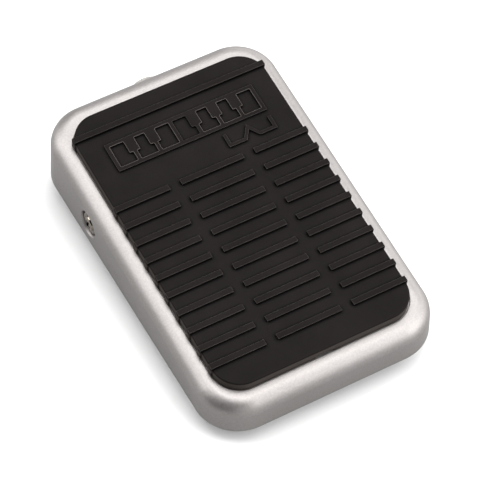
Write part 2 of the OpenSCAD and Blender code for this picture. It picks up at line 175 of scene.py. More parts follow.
class Coat:
    """A material built round one Principled shader."""

    def __init__(self, name, **sockets):
        self.material = bpy.data.materials.new(name)
        self.material.use_nodes = True
        self.tree = self.material.node_tree
        self.shader = self.tree.nodes["Principled BSDF"]
        for key, value in sockets.items():
            self.finish(key.replace("_", " ").title().replace("Ior", "IOR"), value)

    def node(self, kind, settings, sockets, out=0):
        """A new node's output, once its settings are made and its sockets are fed."""
        made = self.tree.nodes.new(kind)
        for key, value in settings.items():
            setattr(made, key, value)
        for key, value in sockets.items():
            self.feed(made.inputs[key], value)
        return Field(self, made.outputs[out])

    def feed(self, socket, value):
        """Links a field to the socket, or sets a plain value in it."""
        if isinstance(value, Field):
            self.tree.links.new(value.socket, socket)
        else:
            socket.default_value = value

    def finish(self, socket, value):
        """Feeds one of the Principled shader's own sockets."""
        self.feed(self.shader.inputs[socket], value)

    def place(self):
        """Where a point is on the piece, in metres."""
        return self.node("ShaderNodeTexCoord", {}, {}, out="Object")

    def noise(self, size, detail, rough):
        """Noise from 0 to 1 whose blotches are about size metres across."""
        sockets = {"Vector": self.place(), "Scale": 1 / size, "Detail": detail, "Roughness": rough}
        return self.node("ShaderNodeTexNoise", {}, sockets)

    def dot(self, first, second):
        """The dot product of two vectors."""
        settings = {"operation": "DOT_PRODUCT"}
        return self.node("ShaderNodeVectorMath", settings, {0: first, 1: second}, out="Value")

    def between(self, low, high, field):
        """The field as 0 at low and 1 at high, and held there beyond them."""
        return self.node("ShaderNodeMapRange", {}, {"Value": field, "From Min": low, "From Max": high})

    def mix(self, share, first, second):
        """A colour that goes from first to second as share goes from 0 to 1."""
        return self.node("ShaderNodeMix", {"data_type": "RGBA"}, {0: share, 6: first, 7: second}, out=2)

    def tint(self, share, first, second):
        """The same, between two plain colours without alpha."""
        return self.mix(share, (*first, 1), (*second, 1))

    def bump(self, height, depth, strength):
        """Roughens the shader's normal by a height field, whose full range is depth metres."""
        sockets = {"Height": height, "Distance": depth, "Strength": strength}
        self.finish("Normal", self.node("ShaderNodeBump", {}, sockets))


silver = Coat("silver paint", metallic=0.85, roughness=0.45)
flakes = silver.noise(0.16 * MM, 2, 0.6)
grain = silver.noise(0.55 * MM, 3, 0.6)
clouds = silver.noise(22 * MM, 3, 0.55)
shade = silver.between(0.25, 0.75, grain * 0.45 + flakes * 0.4 + clouds * 0.15)
silver.finish("Base Color", silver.tint(shade, (0.193, 0.181, 0.176), (0.333, 0.316, 0.309)))
silver.finish("Roughness", 0.38 + 0.14 * grain)
silver.bump(grain * 0.6 + flakes * 0.4, 0.04 * MM, 0.8)

COVER_W, COVER_L, COVER_H, SLOPE, DRAFT = 67, 103.6, 13.7, math.radians(4.25), math.radians(2.2)
CORNER_R, EDGE_R, LOW_EDGE_R, WALL, TOP_T, GAP = 11.75, 4.35, 0.5, 2.4, 2.5, 4.6
PAD_W, PAD_L, PAD_R, PAD_FIT, PAD_SHIFT, RECESS, LIP_R = 57, 90.6, 7.8, 0.25, -0.8, 0.6, 0.25
TOP_Z = GAP + COVER_H
toe_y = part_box("treadle_cover")[0][1] / MM
toe_flare = (COVER_H - COVER_L / 2 * math.sin(SLOPE)) * math.tan(DRAFT)
MID_Y = toe_y + toe_flare + COVER_L / 2 * math.cos(SLOPE)
ALONG = Vector((0, math.cos(SLOPE), math.sin(SLOPE)))
TOP_NORMAL = Vector((0, -math.sin(SLOPE), math.cos(SLOPE)))
UP = Vector((0, 0, 1))


def quarter(steps):
    """Angles from 0 to a right angle, for an edge that is rounded in that many steps."""
    return [math.pi / 2 * step / steps for step in range(steps + 1)]


def outline(half_w, half_l, r, steps=20):
    """Points and outward directions round a rounded rectangle, counter-clockwise."""
    points = []
    for side_x, side_y, start in ((1, 1, 0), (-1, 1, 90), (-1, -1, 180), (1, -1, 270)):
        for step in range(steps + 1):
            angle = math.radians(start + 90 * step / steps)
            way = Vector((math.cos(angle), math.sin(angle)))
            points.append((Vector((side_x * (half_w - r), side_y * (half_l - r))) + way * r, way))
    return points


def on_top(x, y, height):
    """The point x across, y along and height above the middle of the sloping top face."""
    return Vector((0, MID_Y, TOP_Z)) + Vector((x, 0, 0)) + ALONG * y + TOP_NORMAL * height


def pad_ring(grow, height):
    """A ring round the pad's place on the top face, wider than the pad by grow."""
    ring = outline(PAD_W / 2 + grow, PAD_L / 2 + grow, PAD_R + grow)
    return [on_top(point.x, point.y + PAD_SHIFT, height) for point, _ in ring]


def drafted_shell(inset, drop, round_r, steps):
    """Rings from the top face, round its edge and down the drafted wall to the low edge."""
    low_z = GAP + LOW_EDGE_R
    rings = [[] for _ in range(steps + 2)]
    for point, way in outline(COVER_W / 2 - inset, COVER_L / 2 - inset, CORNER_R - inset):
        corner = on_top(point.x, point.y, -drop)
        out = Vector((way.x, way.y, 0))
        wall_normal = out * math.cos(DRAFT) + UP * math.sin(DRAFT)
        grid = Matrix(((out.dot(wall_normal), TOP_NORMAL.dot(wall_normal)), (out.dot(TOP_NORMAL), 1)))
        shift, sink = grid.inverted() @ Vector((round_r, round_r))
        centre = corner - out * shift - TOP_NORMAL * sink
        for step in range(steps + 1):
            rings[step].append(centre + round_r * TOP_NORMAL.slerp(wall_normal, step / steps))
        rings[-1].append(corner + out * (corner.z - low_z) * math.tan(DRAFT) - UP * (corner.z - low_z))
    return rings


def low_rim(ring, side):
    """Rings that round the low edge from a wall's last ring: side is 1 outside and -1 inside."""
    ways = [Vector((way.x, way.y, 0)) for _, way in outline(COVER_W / 2, COVER_L / 2, CORNER_R)]
    rings = []
    for angle in quarter(5):
        shrink = LOW_EDGE_R * (1 - math.cos(angle))
        z = GAP + LOW_EDGE_R - LOW_EDGE_R * math.sin(angle)
        rings.append([Vector((p.x, p.y, z)) - side * shrink * way for p, way in zip(ring, ways)])
    return rings


def skin(rings, capped=True):
    """Vertices in metres and faces through rings of equal length, with the end rings filled."""
    count = len(rings[0])
    verts = [tuple(p * MM) for ring in rings for p in ring]
    faces = []
    for row in range(len(rings) - 1):
        for k in range(count):
            n = (k + 1) % count
            faces.append((row * count + k, (row + 1) * count + k, (row + 1) * count + n, row * count + n))
    if capped:
        faces.append(tuple(range(count)))
        faces.append(tuple((len(rings) - 1) * count + k for k in reversed(range(count))))
    return verts, faces


def new_mesh(name, verts, faces):
    """A mesh with its doubles merged and its faces turned outward."""
    weld = 1e-7
    mesh = bpy.data.meshes.new(name)
    mesh.from_pydata(verts, [], faces)
    work = bmesh.new()
    work.from_mesh(mesh)
    bmesh.ops.remove_doubles(work, verts=work.verts, dist=weld)
    bmesh.ops.dissolve_degenerate(work, edges=work.edges, dist=weld)
    bmesh.ops.recalc_face_normals(work, faces=work.faces)
    work.to_mesh(mesh)
    work.free()
    return mesh


def turned(name, profile, place, axis, steps=96, hollow=False):
    """A closed turning, from (distance along the axis, radius) pairs in millimetres.
    Of a hollow one the profile runs once round the wall's section."""
    pole_r = 0.0005
    if hollow:
        profile = profile + profile[:1]
    axis = Vector(axis)
    side = axis.orthogonal().normalized()
    other = axis.cross(side)
    angles = [2 * math.pi * k / steps for k in range(steps)]
    rings = []
    for along, radius in profile:
        heart = Vector(place) + axis * along
        reach = max(radius, pole_r)
        rings.append([heart + (side * math.cos(t) + other * math.sin(t)) * reach for t in angles])
    return new_mesh(name, *skin(rings, not hollow))


def rod(low, high, r):
    """The profile of a plain rod, for a hole."""
    return [(low, 0), (low, r), (high, r), (high, 0)]


def loose(name, mesh):
    """A new object in the scene."""
    thing = bpy.data.objects.new(name, mesh)
    bpy.context.collection.objects.link(thing)
    return thing


def settled(thing, name):
    """The thing with its modifiers worked in, as one plain mesh."""
    bpy.context.view_layer.update()
    graph = bpy.context.evaluated_depsgraph_get()
    mesh = bpy.data.meshes.new_from_object(thing.evaluated_get(graph))
    mesh.name = name
    bpy.data.objects.remove(thing)
    return mesh


def carved(base, cutters, operation="DIFFERENCE"):
    """The base mesh with each cutter's mesh taken away from it, or joined to it."""
    thing = loose("work", base)
    tools = [loose("cutter", cutter) for cutter in cutters]
    for tool in tools:
        cut = thing.modifiers.new("cut", "BOOLEAN")
        cut.operation = operation
        cut.solver = "EXACT"
        cut.object = tool
    mesh = settled(thing, base.name)
    for tool in tools:
        bpy.data.objects.remove(tool)
    return mesh


def shown(name, mesh, coat, body, node, smooth=30, weighted=False):
    """A finished piece: shaded, coated, riding on its body and standing for its node."""
    mesh.materials.clear()
    mesh.materials.append(coat.material)
    mesh.shade_smooth()
    mesh.set_sharp_from_angle(angle=math.radians(smooth))
    piece = loose(name, mesh)
    if weighted:
        even = piece.modifiers.new("even shading", "WEIGHTED_NORMAL")
        even.keep_sharp = True
    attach(piece, body)
    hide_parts(node)
    return piece


hinge = next(joint for joint in frame["record"]["behaviour"]["joints"] if joint["name"] == "treadle_hinge")
HINGE = Vector(hinge["pos_m"]) / MM
jack_mount = next(mount for mount in frame["record"]["mounts"] if mount["name"] == "jack")
JACK_Z = jack_mount["pos_m"][2] / MM
JACK_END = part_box("jack_ferrule")[1][1] / MM
WALL_OUT = COVER_W / 2 + (TOP_Z + (HINGE.y - MID_Y) * math.tan(SLOPE) - HINGE.z) * math.tan(DRAFT)
SINK_R, SINK_DEPTH, SINK_CHAMFER, BUSH_HOLE_R = 3.7, 1.3, 0.3, 2.78
SPOT_R, SPOT_FLARE_R, SPOT_OUT, JACK_HOLE_R = 6.4, 8.3, 0.1, 4.8
SEAT = (0, MID_Y + COVER_L / 2 * math.cos(SLOPE) + SPOT_OUT, JACK_Z)

rings = [pad_ring(PAD_FIT, -RECESS)]
for angle in quarter(4):
    rings.append(pad_ring(PAD_FIT + LIP_R * (1 - math.cos(angle)), -LIP_R * (1 - math.sin(angle))))
outer = drafted_shell(0, 0, EDGE_R, 16)
inner = drafted_shell(WALL, TOP_T, EDGE_R - WALL, 8)
rings += outer[:-1] + low_rim(outer[-1], 1)
rings += low_rim(inner[-1], -1)[::-1] + inner[:-1][::-1]
cover_mesh = new_mesh("cover casting", *skin(rings))


def ceiling(y):
    """The height of the cover's inner top face at y."""
    return TOP_Z - TOP_T / math.cos(SLOPE) + (y - MID_Y) * math.tan(SLOPE)


def ceiling_post(x, y, low, r):
    """A post that hangs from the cover's top wall, with a softened lower edge."""
    ease, bite = 0.3, 1
    length = ceiling(y) - low + bite
    profile = [(0, 0), (0, r - ease), (ease, r), (length, r), (length, 0)]
    return turned("post", profile, (x, y, low), (0, 0, 1), 48)


STOP_X, STOP_R, REST_Y, TRAVEL_Y, REST_GAP, TRAVEL_GAP = 20, 4, MID_Y + 41, MID_Y - 40, 0.1, 3.27
SPRING_X, SPRING_Y, SEAT_DROP, SEAT_R, PIN_R, PIN_L = 17, MID_Y - 22, 0.7, 5.6, 3.2, 1.6
spring_seat = ceiling(SPRING_Y) - SEAT_DROP
rest_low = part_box("rest_bumpers")[1][2] / MM + REST_GAP
travel_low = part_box("travel_bumpers")[1][2] / MM + TRAVEL_GAP
sink = [(0, 0), (0, SINK_R), (SINK_DEPTH - SINK_CHAMFER, SINK_R)]
sink += [(SINK_DEPTH + 1, SINK_R + SINK_CHAMFER + 1), (SINK_DEPTH + 1, 0)]
spot = [(0, 0), (0, SPOT_R), (SPOT_OUT, SPOT_R), (2, SPOT_FLARE_R), (2, 0)]
posts = []
cutters = []
for side in (-1, 1):
    posts.append(ceiling_post(side * STOP_X, REST_Y, rest_low, STOP_R))
    posts.append(ceiling_post(side * STOP_X, TRAVEL_Y, travel_low, STOP_R))
    posts.append(ceiling_post(side * SPRING_X, SPRING_Y, spring_seat, SEAT_R))
    posts.append(ceiling_post(side * SPRING_X, SPRING_Y, spring_seat - PIN_L, PIN_R))
    sink_floor = (side * (WALL_OUT - SINK_DEPTH), HINGE.y, HINGE.z)
    cutters.append(turned("sink", sink, sink_floor, (side, 0, 0)))
    cutters.append(turned("bush hole", rod(-3, 1, BUSH_HOLE_R), sink_floor, (side, 0, 0)))
cutters.append(turned("jack hole", rod(-6, 1, JACK_HOLE_R), SEAT, (0, 1, 0)))
cutters.append(turned("spot face", spot, SEAT, (0, 1, 0)))
cover_mesh = carved(carved(cover_mesh, posts, "UNION"), cutters)
shown("cover_casting", cover_mesh, silver, "treadle", "treadle_cover",
      smooth=28, weighted=True)


# ---------------------------------------------------------------------------
# The rubber pad: one black moulding glued into a shallow recess in the cover.
# Its ribs stand in three columns, whose outer ones run down the pad's sides, and
# a long rib and two raised signs fill its jack end.
# ---------------------------------------------------------------------------
PAD_H, PAD_LOW, PAD_EDGE_R = 2.7, -0.4, 0.35
RIB_W, RIB_H, RIB_EDGE, RIB_PROUD, RIB_ROOT, LEG_T, LEG_LOW = 1.7, 0.7, 0.16, 0.4, 0.4, 0.9, 0.12
RIB_PITCH, RIB_ROWS, FIRST_ROW_Y, REAR_RIB_Y = 5.8, 10, 15.25, 39.4
COLUMN_IN, COLUMN_OUT = 9.4, 12.8
NOTCH_DEEP, NOTCH_AHEAD, LIT_SIDE_STARTS, LIT_SIDE_FULL = 1.7, 0.5, 0.35, 0.6
SIGN_H, SIGN_ROOT, SIGN_EDGE = 0.5, 0.3, 0.12


def edge_wear_and_highlight(coat, radius):
    """1 on sharp outer edges and 0 on the flats, from how far a rounded normal turns away."""
    fully_marked = 0.25
    rounded = coat.node("ShaderNodeBevel", {"samples": 4}, {"Radius": radius})
    flat = coat.node("ShaderNodeNewGeometry", {}, {}, out="Normal")
    return coat.between(0, fully_marked, 1 - coat.dot(rounded, flat))


pad_top = (Vector((0, MID_Y, TOP_Z)).dot(TOP_NORMAL) + PAD_H) * MM
rubber = Coat("pad rubber", roughness=0.6, specular_ior_level=0.03)
moulding = rubber.noise(0.35 * MM, 3, 0.6)
bloom = rubber.between(0.3, 0.7, rubber.noise(14 * MM, 4, 0.6))
dust = rubber.between(0.6, 0.8, rubber.noise(0.9 * MM, 5, 0.75))
face = rubber.tint(bloom, (0.0062, 0.0052, 0.0049), (0.0088, 0.0075, 0.0071))
# The pad's sharp outer edges and rib edges are painted much paler than its faces. This is partly wear and
# partly a painted highlight where the edges catch the light.
wear_and_highlight_edges = edge_wear_and_highlight(rubber, 0.22 * MM)
face_with_worn_and_lit_edges = rubber.mix(0.9 * wear_and_highlight_edges + 0.05 * dust, face, (0.09, 0.08, 0.073, 1))
# Painted shade: where ambient occlusion finds the rubber closed in, in front of and between the ribs and
# round the signs, its colour goes to near black.
open_sky = rubber.node("ShaderNodeAmbientOcclusion", {"samples": 8}, {"Distance": 1.0 * MM}, out="AO")
shaded = rubber.mix(rubber.between(0.6, 1.0, open_sky), (0.0003, 0.0003, 0.0003, 1), face_with_worn_and_lit_edges)
# Painted light: the faces more than 0.35 to 0.6 mm below the pad's top, which are its sides, get a paler
# colour than the top, standing in for the light that falls on them. They also skip the painted shade.
above_base = rubber.dot(rubber.place(), TOP_NORMAL)
painted_lit_sides = rubber.between(pad_top - LIT_SIDE_STARTS * MM, pad_top - LIT_SIDE_FULL * MM, above_base)
rubber.finish("Base Color", rubber.mix(painted_lit_sides, shaded, (0.05, 0.043, 0.039, 1)))
rubber.finish("Roughness", 0.52 + 0.16 * moulding)
rubber.bump(moulding, 0.02 * MM, 0.7)


def level_ring(half_w, half_l, r, z, steps, mid_y=0.0):
    """A level rounded rectangle at height z, as one ring of points."""
    return [Vector((point.x, point.y + mid_y, z)) for point, _ in outline(half_w, half_l, r, steps)]


def rectangle(x_low, x_high, z_low, z_high):
    """The profile of a plain bar."""
    return [(x_low, z_low), (x_low, z_high), (x_high, z_high), (x_high, z_low)]


def slab(name, profile, thickness, start, edge):
    """A bar that fills its profile in X and Z from Y start on, with all edges eased by edge."""
    count = len(profile)
    work = bmesh.new()
    points = [work.verts.new((x, y, z)) for y in (start, start + thickness) for x, z in profile]
    work.faces.new(points[:count])
    work.faces.new(points[:count - 1:-1])
    for k in range(count):
        n = (k + 1) % count
        work.faces.new([points[k], points[n], points[count + n], points[count + k]])
    bmesh.ops.recalc_face_normals(work, faces=work.faces)
    if edge:
        bmesh.ops.bevel(work, geom=work.edges, offset=edge, segments=2, profile=0.6,
                        affect="EDGES", clamp_overlap=True)
    mesh = bpy.data.meshes.new(name)
    work.to_mesh(mesh)
    work.free()
    return mesh


def joined(name, meshes):
    """One mesh out of several, each kept as it is."""
    work = bmesh.new()
    for mesh in meshes:
        work.from_mesh(mesh)
    whole = bpy.data.meshes.new(name)
    work.to_mesh(whole)
    work.free()
    return whole


def on_pad(mesh):
    """Lays a mesh drawn level in millimetres onto the sloping top face, in metres."""
    for vert in mesh.vertices:
        vert.co = on_top(vert.co.x, vert.co.y + PAD_SHIFT, vert.co.z) * MM
    return mesh


def tree_in(name, **sockets):
    """A new geometry tree with its two ends, whose inputs are Geometry, Coat and the named ones."""
    tree = bpy.data.node_groups.new(name, "GeometryNodeTree")
    for label, kind in {"Geometry": "Geometry", **sockets, "Coat": "Material"}.items():
        tree.interface.new_socket(label, in_out="INPUT", socket_type="NodeSocket" + kind)
    tree.interface.new_socket("Geometry", in_out="OUTPUT", socket_type="NodeSocketGeometry")
    return tree, tree.nodes.new("NodeGroupInput"), tree.nodes.new("NodeGroupOutput")


def wired(tree, first, out, second, into):
    """Links an output of the first node to an input of the second."""
    tree.links.new(first.outputs[out], second.inputs[into])


def finish_tree(tree, given, shape, result):
    """Ends the tree: makes the shape's instances real, coats them and puts them out."""
    real = tree.nodes.new("GeometryNodeRealizeInstances")
    coated = tree.nodes.new("GeometryNodeSetMaterial")
    wired(tree, shape, 0, real, 0)
    wired(tree, real, 0, coated, "Geometry")
    wired(tree, given, "Coat", coated, "Material")
    wired(tree, coated, 0, result, 0)


def grown(mesh, tree, values):
    """The mesh with the tree run on it once, as a plain mesh."""
    thing = loose("work", mesh)
    run = thing.modifiers.new("run", "NODES")
    run.node_group = tree
    for item in tree.interface.items_tree:
        if item.item_type == "SOCKET" and item.in_out == "INPUT" and item.name in values:
            run[item.identifier] = values[item.name]
    return settled(thing, mesh.name)


rows_tree, given, result = tree_in("repeat in a row", Rows="Int", Step="Vector")
line = rows_tree.nodes.new("GeometryNodeMeshLine")
line.mode = "OFFSET"
placed = rows_tree.nodes.new("GeometryNodeInstanceOnPoints")
wired(rows_tree, given, "Rows", line, "Count")
wired(rows_tree, given, "Step", line, "Offset")
wired(rows_tree, line, 0, placed, "Points")
wired(rows_tree, given, "Geometry", placed, "Instance")
finish_tree(rows_tree, given, placed, result)

half_pad = PAD_W / 2
pad_rings = [level_ring(half_pad, PAD_L / 2, PAD_R, PAD_LOW, 14)]
for angle in quarter(5):
    shrink = PAD_EDGE_R * (1 - math.cos(angle))
    z = PAD_H - PAD_EDGE_R + PAD_EDGE_R * math.sin(angle)
    pad_rings.append(level_ring(half_pad - shrink, PAD_L / 2 - shrink, PAD_R - shrink, z, 14))
verts, faces = skin(pad_rings)
pad_body = new_mesh("pad body", [tuple(Vector(vert) / MM) for vert in verts], faces)
# A small notch stays in the toe edge, where the rubber left the mould.
notch_profile = [(-2.6, -1), (2.8, -1), (2.8, 0.25), (-2.6, 0.8)]
notch = slab("moulding notch", notch_profile, NOTCH_DEEP, -PAD_L / 2 - NOTCH_AHEAD, 0)
pad_body = carved(pad_body, [notch])

side_x = half_pad + RIB_PROUD
leg_x = side_x - LEG_T
rib_top, rib_root = PAD_H + RIB_H, PAD_H - RIB_ROOT
side_profile = [(COLUMN_OUT, rib_root), (COLUMN_OUT, rib_top), (side_x, rib_top)]
side_profile += [(side_x, LEG_LOW), (leg_x, LEG_LOW), (leg_x, rib_root)]
rib_profiles = [[(way * x, z) for x, z in side_profile] for way in (-1, 1)]
rib_profiles.append(rectangle(-COLUMN_IN, COLUMN_IN, rib_root, rib_top))
row = [slab("rib", profile, RIB_W, FIRST_ROW_Y - RIB_W / 2, RIB_EDGE) for profile in rib_profiles]
ribs_given = {"Rows": RIB_ROWS, "Step": (0, -RIB_PITCH, 0), "Coat": rubber.material}
ribs = grown(joined("first row", row), rows_tree, ribs_given)
rear_profile = [(-side_x, LEG_LOW), (-side_x, rib_top), (side_x, rib_top), (side_x, LEG_LOW)]
rear_profile += [(leg_x, LEG_LOW), (leg_x, rib_root), (-leg_x, rib_root), (-leg_x, LEG_LOW)]
rear_rib = slab("rear rib", rear_profile, RIB_W, REAR_RIB_Y - RIB_W / 2, RIB_EDGE)


def softened(points, r):
    """The closed outline with each corner rounded by about r."""
    steps = 4
    round_points = []
    for k, corner in enumerate(points):
        corner = Vector(corner)
        before = corner + (Vector(points[k - 1]) - corner).normalized() * r
        after = corner + (Vector(points[(k + 1) % len(points)]) - corner).normalized() * r
        for step in range(steps + 1):
            t = step / steps
            round_points.append(before * (1 - t) ** 2 + corner * 2 * t * (1 - t) + after * t * t)
    return round_points


def raised(name, outlines, soften):
    """A sign raised on the pad inside the outlines, with eased top edges and inner outlines as holes."""
    curve = bpy.data.curves.new(name, "CURVE")
    curve.dimensions = "2D"
    curve.fill_mode = "BOTH"
    for points in outlines:
        corners = softened(points, soften)
        spline = curve.splines.new("POLY")
        spline.points.add(len(corners) - 1)
        for point, corner in zip(spline.points, corners):
            point.co = (corner.x, corner.y, 0, 1)
        spline.use_cyclic_u = True
    curve.extrude = (SIGN_H + SIGN_ROOT) / 2 - SIGN_EDGE
    curve.bevel_depth = SIGN_EDGE
    curve.bevel_resolution = 1
    curve.offset = -SIGN_EDGE
    mesh = settled(loose(name, curve), name)
    for vert in mesh.vertices:
        vert.co.z += PAD_H + (SIGN_H - SIGN_ROOT) / 2
    return new_mesh(name, [tuple(v.co) for v in mesh.vertices], [tuple(f.vertices) for f in mesh.polygons])


def stroke(points, width):
    """The outline of a bar that follows the points, with mitred corners."""
    points = [Vector(point) for point in points]
    ways = [(end - start).normalized() for start, end in zip(points, points[1:])]
    left, right = [], []
    for k, point in enumerate(points):
        before, after = ways[max(k - 1, 0)], ways[min(k, len(ways) - 1)]
        bend = before + after
        side = Vector((-bend.y, bend.x)) * width / (2 * bend.dot(after))
        left.append(point + side)
        right.append(point - side)
    return left + right[::-1]


KEYS, KEY_PITCH, KEY_L, BLACK_W, BLACK_L, BAR_W, KEYS_Y = 7, 6.2, 9.2, 3.2, 5.2, 1.2, 30
KEYS_SOFT, LINE_SOFT, LINE_W = 0.3, 0.2, 1
BLACK_AFTER = (0, 1, 3, 4, 5)
keys_half_w = (KEYS * KEY_PITCH + BAR_W) / 2
low_y, high_y = KEYS_Y - KEY_L / 2, KEYS_Y + KEY_L / 2
key_foot, black_foot, key_head = low_y + BAR_W, high_y - BLACK_L, high_y - BAR_W
black = (BLACK_W - BAR_W) / 2
keyboard = [[(-keys_half_w, low_y), (keys_half_w, low_y), (keys_half_w, high_y), (-keys_half_w, high_y)]]
for key in range(KEYS):
    x_left = (key - KEYS / 2) * KEY_PITCH + BAR_W / 2
    x_right = x_left + KEY_PITCH - BAR_W
    window = [(x_left, key_foot), (x_right, key_foot)]
    if key in BLACK_AFTER:
        window += [(x_right, black_foot), (x_right - black, black_foot), (x_right - black, key_head)]
    else:
        window.append((x_right, key_head))
    if key - 1 in BLACK_AFTER:
        window += [(x_left + black, key_head), (x_left + black, black_foot), (x_left, black_foot)]
    else:
        window.append((x_left, key_head))
    keyboard.append(window)
pedal_line = [(8, 23.4), (8, 19.6), (12.6, 19.6), (14.8, 22.8), (17, 19.6), (21.6, 19.6), (21.6, 23.4)]
pedal_sign = [stroke(pedal_line, LINE_W)]
signs = [raised("keyboard", keyboard, KEYS_SOFT), raised("pedal sign", pedal_sign, LINE_SOFT)]
pad_mesh = on_pad(joined("pad moulding", [pad_body, ribs, rear_rib] + signs))
shown("pad_moulding", pad_mesh, rubber, "treadle", "rubber_pad", smooth=35)


# ---------------------------------------------------------------------------
# The two hinge screws: nickel-plated steel turnings, whose head has a rounded
# rim, a groove and a domed boss with a cross recess. Each passes through its
# bush and clamps against an ear of the base.
# ---------------------------------------------------------------------------
nickel = Coat("bright nickel", metallic=1.0, roughness=0.16)
turning = nickel.noise(0.3 * MM, 2, 0.5)
haze = nickel.noise(2.5 * MM, 3, 0.6)
nickel.finish("Base Color", nickel.tint(haze, (0.18, 0.155, 0.13), (0.28, 0.25, 0.21)))
nickel.finish("Roughness", 0.06 + 0.1 * turning)
nickel.bump(turning, 0.006 * MM, 0.4)

HEAD_R, HEAD_T, HEAD_CHAMFER, HEAD_SLIP, RIM_R = 3.4, 0.87, 0.1, 0.08, 0.6
BOSS_R, BOSS_STEP, DOME, BOSS_ROUND = 2.1, 0.05, 0.45, 0.6
SHOULDER_R, THREAD_R, THREAD_DEPTH, PITCH, CREST = 2.0, 1.45, 0.2, 0.45, 0.22
TIP_CHAMFER, TIP_IN, THREAD_START, THREAD_SHORT, NECK = 0.35, 3.2, 0.3, 0.5, 0.15
CROSS_TURN, CROSS_DEEP = 25, 0.75
EAR_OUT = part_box("base_plate")[1][0] / MM
screw_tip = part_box("clinch_nuts")[1][0] / MM - TIP_IN
head_in = WALL_OUT - SINK_DEPTH + HEAD_SLIP
head_top = head_in + HEAD_T
screw_profile = [(screw_tip, 0), (screw_tip, THREAD_R - TIP_CHAMFER)]
along = screw_tip + THREAD_START
while along < EAR_OUT - THREAD_SHORT:
    screw_profile += [(along, THREAD_R - THREAD_DEPTH), (along + CREST, THREAD_R)]
    along += PITCH
screw_profile += [(EAR_OUT, THREAD_R - NECK), (EAR_OUT, SHOULDER_R), (head_in, SHOULDER_R)]
screw_profile += [(head_in, HEAD_R - HEAD_CHAMFER), (head_in + HEAD_CHAMFER, HEAD_R)]
for angle in quarter(6):
    rim_x = head_top - RIM_R * (1 - math.sin(angle))
    screw_profile.append((rim_x, HEAD_R - RIM_R * (1 - math.cos(angle))))
# The groove runs from inside the rim to the foot of the boss.
for depth, radius in ((0.1, 2.62), (0.22, 2.45), (0.22, 2.2), (BOSS_STEP, BOSS_R)):
    screw_profile.append((head_top - depth, radius))
for angle in quarter(8)[1:]:
    boss_x = head_top - BOSS_STEP + (DOME + BOSS_STEP) * math.sin(angle)
    screw_profile.append((boss_x, BOSS_R * math.cos(angle) ** BOSS_ROUND))
left_screw = turned("screw", screw_profile, (0, HINGE.y, HINGE.z), (-1, 0, 0), 72)


def cross_wing(turn):
    """One tapered wing of the left screw's cross recess, turned about the screw's axis."""
    face_x = -head_top - DOME
    # Each end of the wing is its x, its half width and its half length.
    mouth = (face_x - 0.3, 0.44, 1.65)
    bottom = (face_x + CROSS_DEEP, 0.28, 0.65)
    verts = []
    for x, half_w, half_l in (mouth, bottom):
        for y, z in ((-half_w, -half_l), (half_w, -half_l), (half_w, half_l), (-half_w, half_l)):
            spun = Matrix.Rotation(math.radians(turn), 2) @ Vector((y, z))
            verts.append((x * MM, (HINGE.y + spun.x) * MM, (HINGE.z + spun.y) * MM))
    sides = [(k, k + 4, (k + 1) % 4 + 4, (k + 1) % 4) for k in range(4)]
    return new_mesh("wing", verts, [(0, 1, 2, 3), (7, 6, 5, 4)] + sides)


left_screw = carved(left_screw, [cross_wing(CROSS_TURN), cross_wing(CROSS_TURN + 90)])

pair_tree, given, result = tree_in("pair across the pedal", Middle="Vector")
spun = pair_tree.nodes.new("GeometryNodeTransform")
spun.inputs["Rotation"].default_value = (0, 0, math.pi)
both = pair_tree.nodes.new("GeometryNodeJoinGeometry")
wired(pair_tree, given, "Geometry", spun, "Geometry")
wired(pair_tree, given, "Middle", spun, "Translation")
wired(pair_tree, given, "Geometry", both, 0)
wired(pair_tree, spun, 0, both, 0)
finish_tree(pair_tree, given, both, result)
screws = grown(left_screw, pair_tree, {"Middle": (0, 2 * HINGE.y * MM, 0), "Coat": nickel.material})
shown("hinge_screws", screws, nickel, "base", "pivot_screws", smooth=40)


# ---------------------------------------------------------------------------
# The jack's outside: a threaded ferrule through the rear wall, held by a flat
# washer and a round knurled nut. All are brass turnings with a dull nickel plate.
# ---------------------------------------------------------------------------
plate = Coat("dull nickel", metallic=1.0, roughness=0.34)
lathe_marks = plate.noise(0.25 * MM, 2, 0.5)
tarnish = plate.noise(3 * MM, 3, 0.6)
plate.finish("Base Color", plate.tint(tarnish, (0.17, 0.162, 0.15), (0.26, 0.25, 0.235)))
plate.finish("Roughness", 0.26 + 0.2 * lathe_marks)
plate.bump(lathe_marks, 0.008 * MM, 0.5)

BORE_R, FERRULE_R, FERRULE_LEN, JACK_TURNS, JACK_PITCH = jack_mount["dims"]["r_mm"], 4.65, 15.9, 12, 0.5
CREST_IN, ROOT_IN = 0.02, 0.2
WASHER_R, WASHER_T, WASHER_SLIP, RING_HOLE_R = 6.0, 0.4, 0.02, 4.7
NUT_R, NUT_T, NUT_CORE_R, KNURLS, KNURL_R = 5.4, 1.25, 5.26, 54, 0.17
SLOT_IN, SLOT_OUT, SLOT_HALF_W, SLOT_DEPTH = 4.4, 6.4, 0.6, 0.55
REARWARD = (0, 1, 0)

end = JACK_END - SEAT[1]
# Round the ferrule's wall: its bore, the lead-in at its mouth, its threads, and back.
ferrule_profile = [(end - FERRULE_LEN, BORE_R), (end - 0.5, BORE_R), (end - 0.12, BORE_R + 0.35)]
ferrule_profile += [(end, BORE_R + 0.5), (end, FERRULE_R - 0.3)]
for turn in range(JACK_TURNS):
    crest = end - 0.2 - JACK_PITCH * turn
    ferrule_profile += [(crest, FERRULE_R - CREST_IN), (crest - JACK_PITCH / 2, FERRULE_R - ROOT_IN)]
ferrule_profile += [(crest - JACK_PITCH, FERRULE_R), (end - FERRULE_LEN, FERRULE_R)]
ferrule = turned("ferrule", ferrule_profile, SEAT, REARWARD, hollow=True)
shown("jack_collar", ferrule, plate, "treadle", "jack_ferrule")

